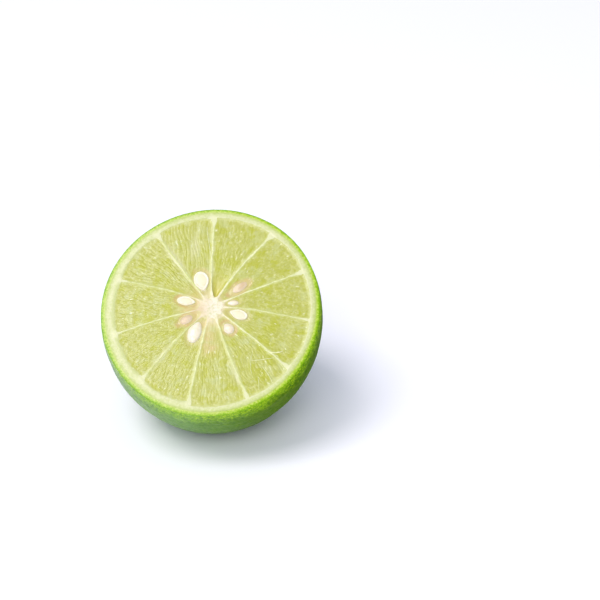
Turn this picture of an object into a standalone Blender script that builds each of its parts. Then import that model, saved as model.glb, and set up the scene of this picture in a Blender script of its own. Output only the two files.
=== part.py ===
"""Half of a round green lime, cut across its middle and resting on its rind with the cut face tilted up.

Metres, +Z up, origin on the surface under the middle of the fruit. The half is turned upright about its own
stem axis, with the cut face up on z = 0 and the stem end down. Its relief is then raised by formula, the seeds
and the stem scar are fused in, and the whole is leaned over and given the small flat spot that it rests on.
"""
import math

import bmesh
import bpy
from mathutils import Matrix, Vector

OBJECT_NAME = "lime_half"

# The rind, a spheroid cut a little above its waist
WAIST_RADIUS = 0.0245
WAIST_DEPTH = 0.0054
STEM_REACH = 0.0261
RIM_ROUND = 0.0003
RIM_CHAMFER_SHARE = 0.3
RIND_BANDS = 20
OVAL_SHARE, OVAL_BEARING = 0.012, math.radians(77.0)
LOBE_SHARE, LOBE_BEARING = 0.005, math.radians(40.5)

# The shallow basin round the stem scar
BASIN_RADIUS = 0.0062
BASIN_DEPTH = 0.0004

# How the half rests
LEAN_ANGLE = math.radians(38.8)
LEAN_BEARING = math.radians(-93.5)
CUT_CENTRE = Vector((-0.00014, -0.00487, 0.02890))

# The cut face, in shares of the way from the core to the rim
CORE_OFFSET = Vector((0.0004, 0.0006))
CORE_TOP_SHARE = 0.052
CORE_SHARE = 0.095
PULP_SHARE = 0.880
PITH_SHARE = 0.950
CORNER_SHARE = 0.022
CORNER_SHARPNESS = 4
CORNER_NEARNESS = 6
PULP_RINGS = (0.135, 0.20, 0.28, 0.37, 0.47, 0.57, 0.67, 0.77, 0.868)

# Heights on the cut face, from the plane of the knife
PULP_SINK = -0.00045
PULP_CROWN = 0.00015
CORE_RISE = 0.00015
MEMBRANE_HALF_WIDTH = 0.00032

# Where each membrane meets the pith and where it leaves the core, as bearings in degrees
MEMBRANES = (
    (22.4, 27.0), (52.0, 64.0), (88.1, 93.0), (122.9, 126.0), (159.7, 145.6), (194.2, 187.0),
    (227.4, 219.0), (258.1, 252.5), (291.2, 287.5), (320.0, 324.0), (351.6, 360.3))
MEMBRANE_BEND = 1.6
WIDEST_FOOT_SHARE = 0.25
LINES_PER_SEGMENT = 9
LINES = LINES_PER_SEGMENT * len(MEMBRANES)

# The hollow that gapes beside the core in the second segment
HOLLOW_SEGMENT = 1
HOLLOW_SHARE = 0.15
HOLLOW_SPREAD = 0.09
HOLLOW_DEPTH = 0.0017
HOLLOW_FLATNESS = 0.6

# Seeds: bearing and distance from the core, the way the tip points, length, width and height of the middle
SEEDS = (
    ("seed_a", 111.0, 0.0067, 283.0, 0.0048, 0.0035, 0.00005),
    ("seed_b", 37.0, 0.0072, 215.0, 0.0044, 0.0018, -0.00015),
    ("seed_c", 11.0, 0.0046, 181.0, 0.0024, 0.0013, -0.00005),
    ("seed_d", 342.0, 0.0061, 158.0, 0.0043, 0.0024, 0.00000),
    ("seed_e", 305.0, 0.0061, 130.0, 0.0030, 0.0023, 0.00005),
    ("seed_f", 237.0, 0.0068, 70.0, 0.0056, 0.0029, 0.00055),
    ("seed_g", 206.0, 0.0061, 25.0, 0.0031, 0.0019, -0.00015),
    ("seed_h", 164.0, 0.0059, 350.0, 0.0040, 0.0021, 0.00000))
SEED_TAPER = 0.38
SEED_THICKNESS_SHARE = 0.80
SEED_SIDES, SEED_RINGS = 12, 8

# The stem scar, a low corky button with a sunk middle
SCAR_RADIUS = 0.0024
SCAR_RISE = 0.0004
SCAR_ROOT = 0.0012
SCAR_CUP = 0.0003
SCAR_SIDES = 20
SCAR_ROOT_SHARE, SCAR_LIP_SHARE, SCAR_CUP_SHARE = 0.8, 0.82, 0.5

# The block that the flat spot is pressed against
BLOCK_SIZE = 0.06

MERGE_DISTANCE = 0.00002
SHARP_ANGLE = math.radians(40.0)


def clear_scene():
    for leftover in list(bpy.data.objects):
        bpy.data.objects.remove(leftover)


def new_collection(name):
    collection = bpy.data.collections.new(name)
    bpy.context.scene.collection.children.link(collection)
    return collection


def lime_material():
    material = bpy.data.materials.new("lime_rind_and_flesh")
    material.use_nodes = True
    shader = material.node_tree.nodes["Principled BSDF"]
    shader.inputs["Base Color"].default_value = (0.30, 0.52, 0.06, 1.0)
    shader.inputs["Roughness"].default_value = 0.38
    shader.inputs["Metallic"].default_value = 0.0
    return material


def smooth_step(value):
    value = min(max(value, 0.0), 1.0)
    return value * value * (3.0 - 2.0 * value)


def evaluated_mesh(thing):
    """The mesh as its modifiers leave it, as data of its own."""
    bpy.context.view_layer.update()
    return bpy.data.meshes.new_from_object(thing.evaluated_get(bpy.context.evaluated_depsgraph_get()))


def turned_solid(name, profile, steps, collection):
    """A solid turned about +Z from a profile of (radius, height) points, from the top down the outer side."""
    mesh = bpy.data.meshes.new(name)
    mesh.from_pydata([(radius, 0.0, height) for radius, height in profile],
                     [(i, i + 1) for i in range(len(profile) - 1)], [])
    thing = bpy.data.objects.new(name, mesh)
    collection.objects.link(thing)
    screw = thing.modifiers.new("turn", "SCREW")
    screw.axis = "Z"
    screw.steps = steps
    screw.render_steps = steps
    screw.use_merge_vertices = True
    screw.merge_threshold = MERGE_DISTANCE
    thing.data = evaluated_mesh(thing)
    thing.modifiers.clear()
    return thing


def rind_point(swing):
    """Radius and depth on the rind, where swing runs from the waist at 0 to the stem end at a quarter turn."""
    return WAIST_RADIUS * math.cos(swing), WAIST_DEPTH + STEM_REACH * math.sin(swing)


RIM_SWING = -math.asin(WAIST_DEPTH / STEM_REACH)
RIM_RADIUS = rind_point(RIM_SWING)[0]
RIM_SHARE = 1.0 - RIM_ROUND / RIM_RADIUS
FACE_SHARES = (0.0, CORE_TOP_SHARE, CORE_SHARE) + PULP_RINGS + (PULP_SHARE, PITH_SHARE, RIM_SHARE)


def half_profile():
    """Across the cut face from the core to the rim, then down the rind to the stem end."""
    chamfer = RIM_CHAMFER_SHARE * RIM_ROUND
    profile = [(share * RIM_RADIUS, 0.0) for share in FACE_SHARES]
    profile.append((RIM_RADIUS - chamfer, -chamfer))
    first_swing = RIM_SWING + RIM_ROUND / STEM_REACH
    for band in range(RIND_BANDS):
        swing = first_swing + (math.pi / 2 - first_swing) * band / RIND_BANDS
        radius, depth = rind_point(swing)
        profile.append((radius, -depth))
    profile.append((0.0, -WAIST_DEPTH - STEM_REACH))
    return profile


def oval_scale(bearing):
    """How far the fruit's outline stands from a true circle at a bearing."""
    oval = OVAL_SHARE * math.cos(2.0 * (bearing - OVAL_BEARING))
    return 1.0 + oval + LOBE_SHARE * math.cos(3.0 * (bearing - LOBE_BEARING))


def membrane_bearing(number, share):
    """A membrane's bearing, which bends as it nears the core."""
    outer, inner = MEMBRANES[number % len(MEMBRANES)]
    turns = 360.0 * (number // len(MEMBRANES))
    return math.radians(outer + turns + (inner - outer) * (1.0 - share) ** MEMBRANE_BEND)


def line_bearing(line, share, radius):
    """Bearing of a grid line: on a membrane's crest, at its foot, or spread over the segment between."""
    number, step = divmod(line, LINES_PER_SEGMENT)
    start = membrane_bearing(number, share)
    if step == 0:
        return start
    end = membrane_bearing(number + 1, share)
    foot = min(MEMBRANE_HALF_WIDTH / max(radius, MERGE_DISTANCE), WIDEST_FOOT_SHARE * (end - start))
    across = (step - 1) / (LINES_PER_SEGMENT - 2)
    return start + foot + (end - start - 2.0 * foot) * across


def rounded_place(share, across):
    """A ring's share, drawn in at the corners of a segment, where the pith runs down into the membranes."""
    if share <= PULP_SHARE:
        nearness = (share / PULP_SHARE) ** CORNER_NEARNESS
    else:
        nearness = smooth_step((PITH_SHARE - share) / (PITH_SHARE - PULP_SHARE))
    corner = min(abs(2.0 * across - 1.0), 1.0) ** CORNER_SHARPNESS
    return share * (1.0 - CORNER_SHARE * corner * nearness)


def face_height(number, share, across, on_membrane):
    """Height over the knife's plane: the core stands up, the pulp sinks in, and one segment gapes at its tip."""
    if share < CORE_SHARE:
        return CORE_RISE
    if on_membrane or share not in PULP_RINGS:
        return 0.0
    height = PULP_SINK + PULP_CROWN * (1.0 - (2.0 * across - 1.0) ** 2)
    if number == HOLLOW_SEGMENT and 0.0 < across < 1.0:
        fall = math.exp(-((share - HOLLOW_SHARE) / HOLLOW_SPREAD) ** 2)
        height -= HOLLOW_DEPTH * fall * math.sin(math.pi * across) ** HOLLOW_FLATNESS
    return height


def face_point(line, share):
    """A point of the cut face, in from the rim along a grid line, with the relief of what was cut."""
    number, step = divmod(line, LINES_PER_SEGMENT)
    across = (step - 1) / (LINES_PER_SEGMENT - 2)
    place = rounded_place(share, across)
    bearing = line_bearing(line, share, place * RIM_RADIUS)
    reach = RIM_RADIUS * oval_scale(bearing) * place
    middle = CORE_OFFSET * (1.0 - place)
    height = face_height(number, share, across, step == 0)
    return Vector((middle.x + reach * math.cos(bearing), middle.y + reach * math.sin(bearing), height))


def rind_relief(line, radius, height):
    """A point of the rind, pushed out by the fruit's ovality and in by the basin at the stem end."""
    bearing = line_bearing(line, 1.0, radius)
    reach = radius * oval_scale(bearing)
    if height < -WAIST_DEPTH:
        height += BASIN_DEPTH * (1.0 - smooth_step(radius / BASIN_RADIUS))
    return Vector((reach * math.cos(bearing), reach * math.sin(bearing), height))


def raise_relief(half):
    """Moves every point of the plain turned half on to the real fruit's surface."""
    for vertex in half.data.vertices:
        radius = math.hypot(vertex.co.x, vertex.co.y)
        turn = math.atan2(vertex.co.y, vertex.co.x) % (2.0 * math.pi)
        line = round(turn / (2.0 * math.pi) * LINES) % LINES
        if vertex.co.z > -MERGE_DISTANCE:
            share = min(FACE_SHARES, key=lambda ring: abs(ring - radius / RIM_RADIUS))
            vertex.co = face_point(line, share)
        else:
            vertex.co = rind_relief(line, radius, vertex.co.z)


def make_seed(name, bearing, distance, tip, length, width, height, collection):
    """A plump seed, pointed at the end that grew from the core."""
    shape = bmesh.new()
    bmesh.ops.create_uvsphere(shape, u_segments=SEED_SIDES, v_segments=SEED_RINGS, radius=1.0)
    bmesh.ops.rotate(shape, cent=(0.0, 0.0, 0.0), verts=shape.verts, matrix=Matrix.Rotation(math.pi / 2, 3, "Y"))
    for vertex in shape.verts:
        along = vertex.co.x
        girth = 1.0 - SEED_TAPER * smooth_step(along)
        vertex.co.x = along * length / 2
        vertex.co.y *= girth * width / 2
        vertex.co.z *= girth * SEED_THICKNESS_SHARE * width / 2
    mesh = bpy.data.meshes.new(name)
    shape.to_mesh(mesh)
    shape.free()
    seed = bpy.data.objects.new(name, mesh)
    place = math.radians(bearing)
    seed.location = CORE_OFFSET.to_3d() + Vector((distance * math.cos(place), distance * math.sin(place), height))
    seed.rotation_euler = (0.0, 0.0, math.radians(tip))
    collection.objects.link(seed)


def make_stem_scar(collection):
    """The corky disc where the fruit hung from its stalk, sunk well into the basin at the stem end."""
    bottom = WAIST_DEPTH + STEM_REACH - BASIN_DEPTH
    tip = -bottom - SCAR_RISE
    root = -bottom + SCAR_ROOT
    profile = [(0.0, root), (SCAR_ROOT_SHARE * SCAR_RADIUS, root), (SCAR_RADIUS, -bottom),
               (SCAR_LIP_SHARE * SCAR_RADIUS, tip), (SCAR_CUP_SHARE * SCAR_RADIUS, tip + SCAR_CUP),
               (0.0, tip + SCAR_CUP)]
    turned_solid("stem_scar", profile, SCAR_SIDES, collection)


def fuse(half, pieces):
    """Joins the pieces to the half in one closed body, and removes what was joined."""
    union = half.modifiers.new("grown_together", "BOOLEAN")
    union.operation = "UNION"
    union.solver = "EXACT"
    union.operand_type = "COLLECTION"
    union.collection = pieces
    half.data = evaluated_mesh(half)
    half.modifiers.clear()
    for piece in list(pieces.objects):
        bpy.data.objects.remove(piece)
    bpy.data.collections.remove(pieces)


def lean_over(half):
    """Leans the cut face forward and sets the half at its height over the surface."""
    axis = Vector((-math.sin(LEAN_BEARING), math.cos(LEAN_BEARING), 0.0))
    half.rotation_mode = "QUATERNION"
    half.rotation_quaternion = Matrix.Rotation(LEAN_ANGLE, 3, axis).to_quaternion()
    half.location = CUT_CENTRE


def press_flat_spot(half, collection):
    """The surface presses the rind flat where the weight rests."""
    bpy.ops.mesh.primitive_cube_add(size=BLOCK_SIZE, location=(0.0, 0.0, -BLOCK_SIZE / 2))
    block = bpy.context.active_object
    block.name = "surface_block"
    block.hide_render = True
    block.display_type = "WIRE"
    for owner in list(block.users_collection):
        owner.objects.unlink(block)
    collection.objects.link(block)
    cut = half.modifiers.new("flat_spot", "BOOLEAN")
    cut.operation = "DIFFERENCE"
    cut.solver = "EXACT"
    cut.object = block


def build():
    clear_scene()
    fruit = new_collection(OBJECT_NAME)
    cutters = new_collection("cutters")
    pieces = new_collection("grown_pieces")
    half = turned_solid(OBJECT_NAME, half_profile(), LINES, fruit)
    raise_relief(half)
    for seed in SEEDS:
        make_seed(*seed, pieces)
    make_stem_scar(pieces)
    fuse(half, pieces)
    half.data.materials.clear()
    half.data.materials.append(lime_material())
    half.data.shade_smooth()
    half.data.set_sharp_from_angle(angle=SHARP_ANGLE)
    lean_over(half)
    press_flat_spot(half, cutters)


build()
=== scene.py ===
"""Half of a green lime, cut across and resting on its rind on a white surface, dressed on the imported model.

Metres. Each piece is modelled upright in the fruit's own frame, with the stem axis on Z and the knife's cut
on z = 0, and is then leaned over into its place. The pieces run inwards from the rind, and the stem scar
comes last.
"""
import math

import bpy
import numpy as np
from mathutils import Matrix, Vector, kdtree


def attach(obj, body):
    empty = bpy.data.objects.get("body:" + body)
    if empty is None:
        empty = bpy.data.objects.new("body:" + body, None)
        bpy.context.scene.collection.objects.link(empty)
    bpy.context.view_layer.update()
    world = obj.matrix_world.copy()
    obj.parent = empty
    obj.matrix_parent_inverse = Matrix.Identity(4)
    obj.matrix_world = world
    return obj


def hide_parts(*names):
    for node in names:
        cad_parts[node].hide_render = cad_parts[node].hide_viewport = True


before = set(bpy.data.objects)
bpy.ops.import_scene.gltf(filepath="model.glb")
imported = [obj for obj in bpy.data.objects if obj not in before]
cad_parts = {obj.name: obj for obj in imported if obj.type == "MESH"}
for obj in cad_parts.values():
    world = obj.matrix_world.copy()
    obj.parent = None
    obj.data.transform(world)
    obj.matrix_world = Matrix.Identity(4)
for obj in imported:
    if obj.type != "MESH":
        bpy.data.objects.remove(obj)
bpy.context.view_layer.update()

# The camera
# A long lens looks down on the half from the front, a little off to its right, so that the cut face is seen
# nearly square on and the rind shows only under it.
CAMERA_PLACE = (0.01916, -0.34294, 0.21102)
CAMERA_ELEVATION = math.radians(28.0)
CAMERA_LENS = 106.9
CAMERA_SENSOR = 36.0

bpy.ops.object.camera_add(location=CAMERA_PLACE, rotation=(math.pi / 2 - CAMERA_ELEVATION, 0.0, 0.0))
camera = bpy.context.active_object
camera.name = "camera"
camera.data.lens = CAMERA_LENS
camera.data.sensor_width = CAMERA_SENSOR
camera.data.clip_start = 0.01
bpy.context.scene.camera = camera

# The table and the light
# A white sweep lit by two large softboxes and a white room, so bright that the surface itself burns out and
# only the soft shadow under the fruit stays. The main box hangs high up in front, to the left.
SURFACE_SIZE = 6.0
SURFACE_COLOUR = (0.962, 0.937, 0.993, 1.0)
ROOM_COLOUR = (0.804, 0.872, 1.0, 1.0)
ROOM_STRENGTHS = (0.828, 0.540)
MAIN_BOX = {"place": (-0.67, -0.42, 1.52), "size": 0.80, "power": 14.5, "colour": (1.0, 0.975, 0.94)}
FRONT_BOX = {"place": (-0.24, -1.50, 1.20), "size": 0.95, "power": 14.0, "colour": (1.0, 1.0, 1.0)}

bpy.ops.mesh.primitive_plane_add(size=SURFACE_SIZE)
surface = bpy.context.active_object
surface.name = "white_surface"
surface_finish = bpy.data.materials.new("white_sweep")
surface_finish.use_nodes = True
surface_shader = surface_finish.node_tree.nodes["Principled BSDF"]
surface_shader.inputs["Base Color"].default_value = SURFACE_COLOUR
surface_shader.inputs["Roughness"].default_value = 0.55
surface_shader.inputs["Specular IOR Level"].default_value = 0.25
surface.data.materials.append(surface_finish)

room = bpy.data.worlds.new("white_room")
room.use_nodes = True
room_light = room.node_tree.nodes["Background"]
room_light.inputs["Color"].default_value = ROOM_COLOUR
room_way = room.node_tree.nodes.new("ShaderNodeTexCoord")
room_sides = room.node_tree.nodes.new("ShaderNodeSeparateXYZ")
room_fall = room.node_tree.nodes.new("ShaderNodeMapRange")
room_fall.inputs["From Min"].default_value = -1.0
room_fall.inputs["To Min"].default_value = ROOM_STRENGTHS[0]
room_fall.inputs["To Max"].default_value = ROOM_STRENGTHS[1]
room.node_tree.links.new(room_way.outputs["Generated"], room_sides.inputs["Vector"])
room.node_tree.links.new(room_sides.outputs["X"], room_fall.inputs["Value"])
room.node_tree.links.new(room_fall.outputs["Result"], room_light.inputs["Strength"])
bpy.context.scene.world = room
bpy.context.scene.view_settings.view_transform = "Standard"


def hang_softbox(name, box):
    """Hangs a square softbox and turns it to face the fruit."""
    aim = (Vector((0.0, 0.0, 0.02)) - Vector(box["place"])).to_track_quat("-Z", "Y")
    bpy.ops.object.light_add(type="AREA", location=box["place"], rotation=aim.to_euler())
    softbox = bpy.context.active_object
    softbox.name = name
    softbox.data.size = box["size"]
    softbox.data.energy = box["power"]
    softbox.data.color = box["colour"]


hang_softbox("main_softbox", MAIN_BOX)
hang_softbox("front_softbox", FRONT_BOX)

# The rind
# The green outer skin, 1.4 mm thick, from the knife's cut down to the stem end. Its skin is waxy and set all
# over with oil glands, each a shallow pit. Where the knife passed, the skin's own thickness shows as a ring.
WAIST_RADIUS = 0.02448
WAIST_DEPTH = 0.0054
STEM_REACH = 0.0261
RIND_THICKNESS = 0.0014
RIM_ROUND = 0.00022
RIM_STEPS = (0.3, 1.0, 1.8, 2.7, 3.7, 4.8, 6.0)
RIND_COLUMNS = 130
RIND_ROWS = 68
RIND_CUTS = 3
OVAL_SHARE, OVAL_BEARING = 0.012, math.radians(77.0)
LOBE_SHARE, LOBE_BEARING = 0.005, math.radians(40.5)
BASIN_RADIUS, BASIN_DEPTH = 0.0062, 0.0004
FURROW_COUNT, FURROW_DEPTH, FURROW_START = 9, 0.00018, 0.002
LEAN_ANGLE = math.radians(38.8)
LEAN_BEARING = math.radians(-93.5)
CUT_CENTRE = Vector((-0.00014, -0.00487, 0.02890))
GLAND_COUNT, GLAND_SPAN = 7200, 1.22
GLAND_RADIUS = 0.00030
GLAND_DEPTH = 0.000080
SWELL_DEPTH, SWELL_LENGTH = 0.00016, 0.0110
RIM_BAND_REACH = 0.0052
WAX_AND_SHADE_REACH = 0.036
BLOOM_SHEEN_START, BLOOM_SHEEN_REACH = 0.008, 0.009
WAVES = 16

lean_axis = Vector((-math.sin(LEAN_BEARING), math.cos(LEAN_BEARING), 0.0))
fruit_frame = Matrix.Translation(CUT_CENTRE) @ Matrix.Rotation(LEAN_ANGLE, 4, lean_axis)
rim_radius = WAIST_RADIUS * math.sqrt(1.0 - (WAIST_DEPTH / STEM_REACH) ** 2)


def read_points(piece):
    """All of a piece's points as an array."""
    points = np.empty(len(piece.data.vertices) * 3)
    piece.data.vertices.foreach_get("co", points)
    return points.reshape(-1, 3)


def write_points(piece, points):
    piece.data.vertices.foreach_set("co", points.ravel())
    piece.data.update()


def paint(piece, name, values):
    """Keeps a number for each point, which the piece's material reads by name."""
    layer = piece.data.attributes.new(name, "FLOAT", "POINT")
    layer.data.foreach_set("value", np.asarray(values, dtype=np.float32))


def smooth_step(values):
    values = np.clip(values, 0.0, 1.0)
    return values * values * (3.0 - 2.0 * values)


def oval_scale(bearing):
    """How far the fruit's outline stands from a true circle at a bearing."""
    oval = OVAL_SHARE * np.cos(2.0 * (bearing - OVAL_BEARING))
    return 1.0 + oval + LOBE_SHARE * np.cos(3.0 * (bearing - LOBE_BEARING))


def swell(points, length, draw_number):
    """Soft unevenness between 0 and 1 at each point: many waves that cross, each about as long as length."""
    draw = np.random.default_rng(draw_number)
    total = np.zeros(len(points))
    for wave in range(WAVES):
        heading = draw.normal(size=3)
        heading /= np.linalg.norm(heading)
        wavelength = length * draw.uniform(0.7, 1.7)
        total += np.cos(points @ heading * 2.0 * math.pi / wavelength + draw.uniform(0.0, 2.0 * math.pi))
    return np.clip(0.5 + 0.36 * total / math.sqrt(WAVES), 0.0, 1.0)


def draw_edge_to(ring, radius, height):
    """Extrudes the selected open edge to a new radius and height, and returns them for the next ring."""
    bpy.ops.mesh.extrude_edges_move(TRANSFORM_OT_translate={"value": (0.0, 0.0, height - ring[1])})
    share = radius / ring[0]
    bpy.ops.transform.resize(value=(share, share, 1.0), center_override=(0.0, 0.0, 0.0))
    return radius, height


def close_pole():
    """Draws the last ring in to one point."""
    bpy.ops.mesh.merge(type="CENTER")
    bpy.ops.mesh.select_all(action="SELECT")
    bpy.ops.mesh.normals_make_consistent(inside=False)
    bpy.ops.object.mode_set(mode="OBJECT")


def lay_in_place(piece, name, angle=50.0):
    """Leans a finished piece over with the fruit, flattens it where it meets the table, and smooths it."""
    piece.name = name
    piece.data.name = name
    bpy.ops.object.select_all(action="DESELECT")
    piece.select_set(True)
    bpy.context.view_layer.objects.active = piece
    piece.matrix_world = fruit_frame
    bpy.ops.object.transform_apply(location=True, rotation=True, scale=True)
    points = read_points(piece)
    points[:, 2] = np.maximum(points[:, 2], 0.0)
    write_points(piece, points)
    bpy.ops.object.shade_smooth_by_angle(angle=math.radians(angle))


bpy.ops.mesh.primitive_uv_sphere_add(segments=RIND_COLUMNS, ring_count=RIND_ROWS, radius=WAIST_RADIUS)
rind = bpy.context.active_object
bpy.ops.object.mode_set(mode="EDIT")
bpy.ops.mesh.select_all(action="SELECT")
bpy.ops.mesh.subdivide(number_cuts=RIND_CUTS)
bpy.ops.object.mode_set(mode="OBJECT")
ball = read_points(rind)
write_points(rind, ball * (WAIST_RADIUS / np.linalg.norm(ball, axis=1, keepdims=True)))
rind.scale = (1.0, 1.0, STEM_REACH / WAIST_RADIUS)
rind.location = (0.0, 0.0, -WAIST_DEPTH)
bpy.ops.object.transform_apply(location=True, rotation=True, scale=True)
bpy.ops.object.mode_set(mode="EDIT")
bpy.ops.mesh.select_all(action="SELECT")
bpy.ops.mesh.bisect(plane_co=(0.0, 0.0, -RIM_ROUND), plane_no=(0.0, 0.0, 1.0), clear_outer=True)
edge = (rim_radius, -RIM_ROUND)
for rounds_in in RIM_STEPS:
    drop = max(1.0 - rounds_in, 0.0) ** 2 * RIM_ROUND
    edge = draw_edge_to(edge, rim_radius - rounds_in * RIM_ROUND, -drop)
inner_scale = 1.0 - RIND_THICKNESS / WAIST_RADIUS
for swing in np.linspace(0.0, 0.46 * math.pi, 9):
    inner_depth = WAIST_DEPTH + (STEM_REACH - RIND_THICKNESS) * math.sin(swing)
    edge = draw_edge_to(edge, WAIST_RADIUS * inner_scale * math.cos(swing), -inner_depth)
close_pole()

rind_points = read_points(rind)
radius = np.hypot(rind_points[:, 0], rind_points[:, 1])
bearing = np.arctan2(rind_points[:, 1], rind_points[:, 0])
height = rind_points[:, 2]
spheroid = (radius / WAIST_RADIUS) ** 2 + ((height + WAIST_DEPTH) / STEM_REACH) ** 2
is_skin = (spheroid > 0.999) & (height < -0.5 * RIM_ROUND)
outward = np.stack([rind_points[:, 0], rind_points[:, 1], height + WAIST_DEPTH], axis=1)
outward /= np.maximum(np.linalg.norm(outward, axis=1, keepdims=True), 1e-9)

gland_draw = np.random.default_rng(11)
order = np.arange(GLAND_COUNT) + 0.5
gland_turn = order * math.pi * (3.0 - math.sqrt(5.0)) + gland_draw.normal(0.0, 0.012, GLAND_COUNT)
gland_height = GLAND_SPAN * order / GLAND_COUNT - 1.0 + gland_draw.normal(0.0, 0.004, GLAND_COUNT)
gland_height = np.clip(gland_height, -1.0, 1.0)
gland_ring = np.sqrt(1.0 - gland_height ** 2)
glands = kdtree.KDTree(GLAND_COUNT)
for number in range(GLAND_COUNT):
    gland_place = (gland_ring[number] * math.cos(gland_turn[number]) * WAIST_RADIUS,
                   gland_ring[number] * math.sin(gland_turn[number]) * WAIST_RADIUS,
                   gland_height[number] * STEM_REACH - WAIST_DEPTH)
    glands.insert(gland_place, number)
glands.balance()
gland_size = gland_draw.uniform(0.55, 1.25, GLAND_COUNT)
gland_mark = np.zeros(len(rind_points))
for number in np.flatnonzero(is_skin | (height > -RIM_ROUND)):
    which, distance = glands.find(rind_points[number])[1:]
    gland_mark[number] = gland_size[which] * math.exp(-(distance / (GLAND_RADIUS * gland_size[which])) ** 2)
broad_swell = swell(rind_points, SWELL_LENGTH, 3)
fine_swell = swell(rind_points, 0.3 * SWELL_LENGTH, 7)
inward = is_skin * (GLAND_DEPTH * gland_mark + SWELL_DEPTH * broad_swell + 0.25 * SWELL_DEPTH * fine_swell)
near_stem = (height < -WAIST_DEPTH) * (1.0 - smooth_step(radius / BASIN_RADIUS))
furrows = 0.5 + 0.5 * np.cos(FURROW_COUNT * bearing + 3.0 * broad_swell)
furrows *= near_stem * smooth_step(radius / FURROW_START)
rind_points -= outward * inward[:, None]
rind_points[:, :2] *= oval_scale(bearing)[:, None]
rind_points[:, 2] += BASIN_DEPTH * near_stem + FURROW_DEPTH * furrows - GLAND_DEPTH * gland_mark * ~is_skin
write_points(rind, rind_points)
cut_depth = np.clip((rim_radius - radius) / RIND_THICKNESS, 0.0, 1.0)
paint(rind, "cut_depth", np.where(is_skin, 0.0, cut_depth))
paint(rind, "on_cut", np.where(is_skin, 0.0, 1.0))
paint(rind, "gland", gland_mark)
paint(rind, "near_stem", near_stem)
paint(rind, "near_rim", 1.0 - smooth_step(-height / RIM_BAND_REACH))
# The skin's wax lies thicker to the left, and the same share sets the painted shade that darkens the skin
# toward the right.
paint(rind, "wax_and_painted_shade", smooth_step(0.5 - rind_points[:, 0] / WAX_AND_SHADE_REACH))
paint(rind, "down", -height)
paint(rind, "side", rind_points[:, 0])
# The front of the rind below the cut, where pale streaks are painted: partly the skin's waxy bloom, partly a
# painted sheen from the bright table.
paint(rind, "bloom_and_sheen", smooth_step((-rind_points[:, 1] - BLOOM_SHEEN_START) / BLOOM_SHEEN_REACH))
lay_in_place(rind, "rind")


class Finish:
    """A material in the making: adds shader nodes, sets their sockets and joins them up."""

    def __init__(self, name):
        self.material = bpy.data.materials.new(name)
        self.material.use_nodes = True
        self.tree = self.material.node_tree
        self.shader = self.tree.nodes["Principled BSDF"]

    def node(self, kind, **settings):
        made = self.tree.nodes.new(kind)
        for key, value in settings.items():
            setattr(made, key, value)
        return made

    def join(self, source, target):
        self.tree.links.new(source, target)

    def set(self, **values):
        """Sets the shader's own sockets, named as in Blender with spaces as underscores."""
        for key, value in values.items():
            self.shader.inputs[key.replace("_", " ")].default_value = value

    def place(self):
        return self.node("ShaderNodeTexCoord").outputs["Object"]

    def kept(self, name, *limits):
        """A number kept on the piece's points by paint, remapped where limits come with it."""
        number = self.node("ShaderNodeAttribute", attribute_name=name).outputs["Fac"]
        return self.remap(number, *limits) if limits else number

    def stretched(self, aside, along, stretch):
        """A place drawn out along one way, for grain that runs in strands."""
        made = self.node("ShaderNodeCombineXYZ")
        self.join(self.kept(aside), made.inputs["X"])
        self.join(self.math("DIVIDE", self.kept(along), stretch), made.inputs["Y"])
        return made.outputs["Vector"]

    def grain(self, size, detail=2.0, roughness=0.5, where=None):
        """Noise between 0 and 1, whose bumps are about size across, in metres."""
        made = self.node("ShaderNodeTexNoise")
        made.inputs["Scale"].default_value = 1.0 / size
        made.inputs["Detail"].default_value = detail
        made.inputs["Roughness"].default_value = roughness
        self.join(self.place() if where is None else where, made.inputs["Vector"])
        return made.outputs["Fac"]

    def ramp(self, source, *stops):
        """Colours a number: each stop is a position and a colour."""
        made = self.node("ShaderNodeValToRGB")
        bands = made.color_ramp.elements
        while len(bands) < len(stops):
            bands.new(0.5)
        for band, (position, colour) in zip(bands, stops):
            band.position = position
            band.color = (*colour, 1.0)
        self.join(source, made.inputs["Fac"])
        return made.outputs["Color"]

    def remap(self, source, low, high, new_low=0.0, new_high=1.0):
        made = self.node("ShaderNodeMapRange")
        for key, value in (("From Min", low), ("From Max", high), ("To Min", new_low), ("To Max", new_high)):
            made.inputs[key].default_value = value
        self.join(source, made.inputs["Value"])
        return made.outputs["Result"]

    def math(self, operation, first, second):
        made = self.node("ShaderNodeMath", operation=operation)
        for socket, value in zip(made.inputs, (first, second)):
            if isinstance(value, float):
                socket.default_value = value
            else:
                self.join(value, socket)
        return made.outputs["Value"]

    def blend(self, share, first, second):
        """Mixes two colours, each a socket or an RGB triple, by a share."""
        made = self.node("ShaderNodeMix", data_type="RGBA")
        for socket, value in ((made.inputs[0], share), (made.inputs[6], first), (made.inputs[7], second)):
            if isinstance(value, (tuple, float)):
                socket.default_value = (*value, 1.0) if isinstance(value, tuple) else value
            else:
                self.join(value, socket)
        return made.outputs[2]

    def bump(self, height, strength, distance):
        made = self.node("ShaderNodeBump")
        made.inputs["Strength"].default_value = strength
        made.inputs["Distance"].default_value = distance
        self.join(height, made.inputs["Height"])
        self.feed(made.outputs["Normal"], "Normal")

    def feed(self, source, name):
        """Joins a source to one of the shader's own sockets."""
        self.join(source, self.shader.inputs[name])

    def colour(self, source):
        self.feed(source, "Base Color")

    def rough(self, source):
        self.feed(source, "Roughness")


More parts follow.
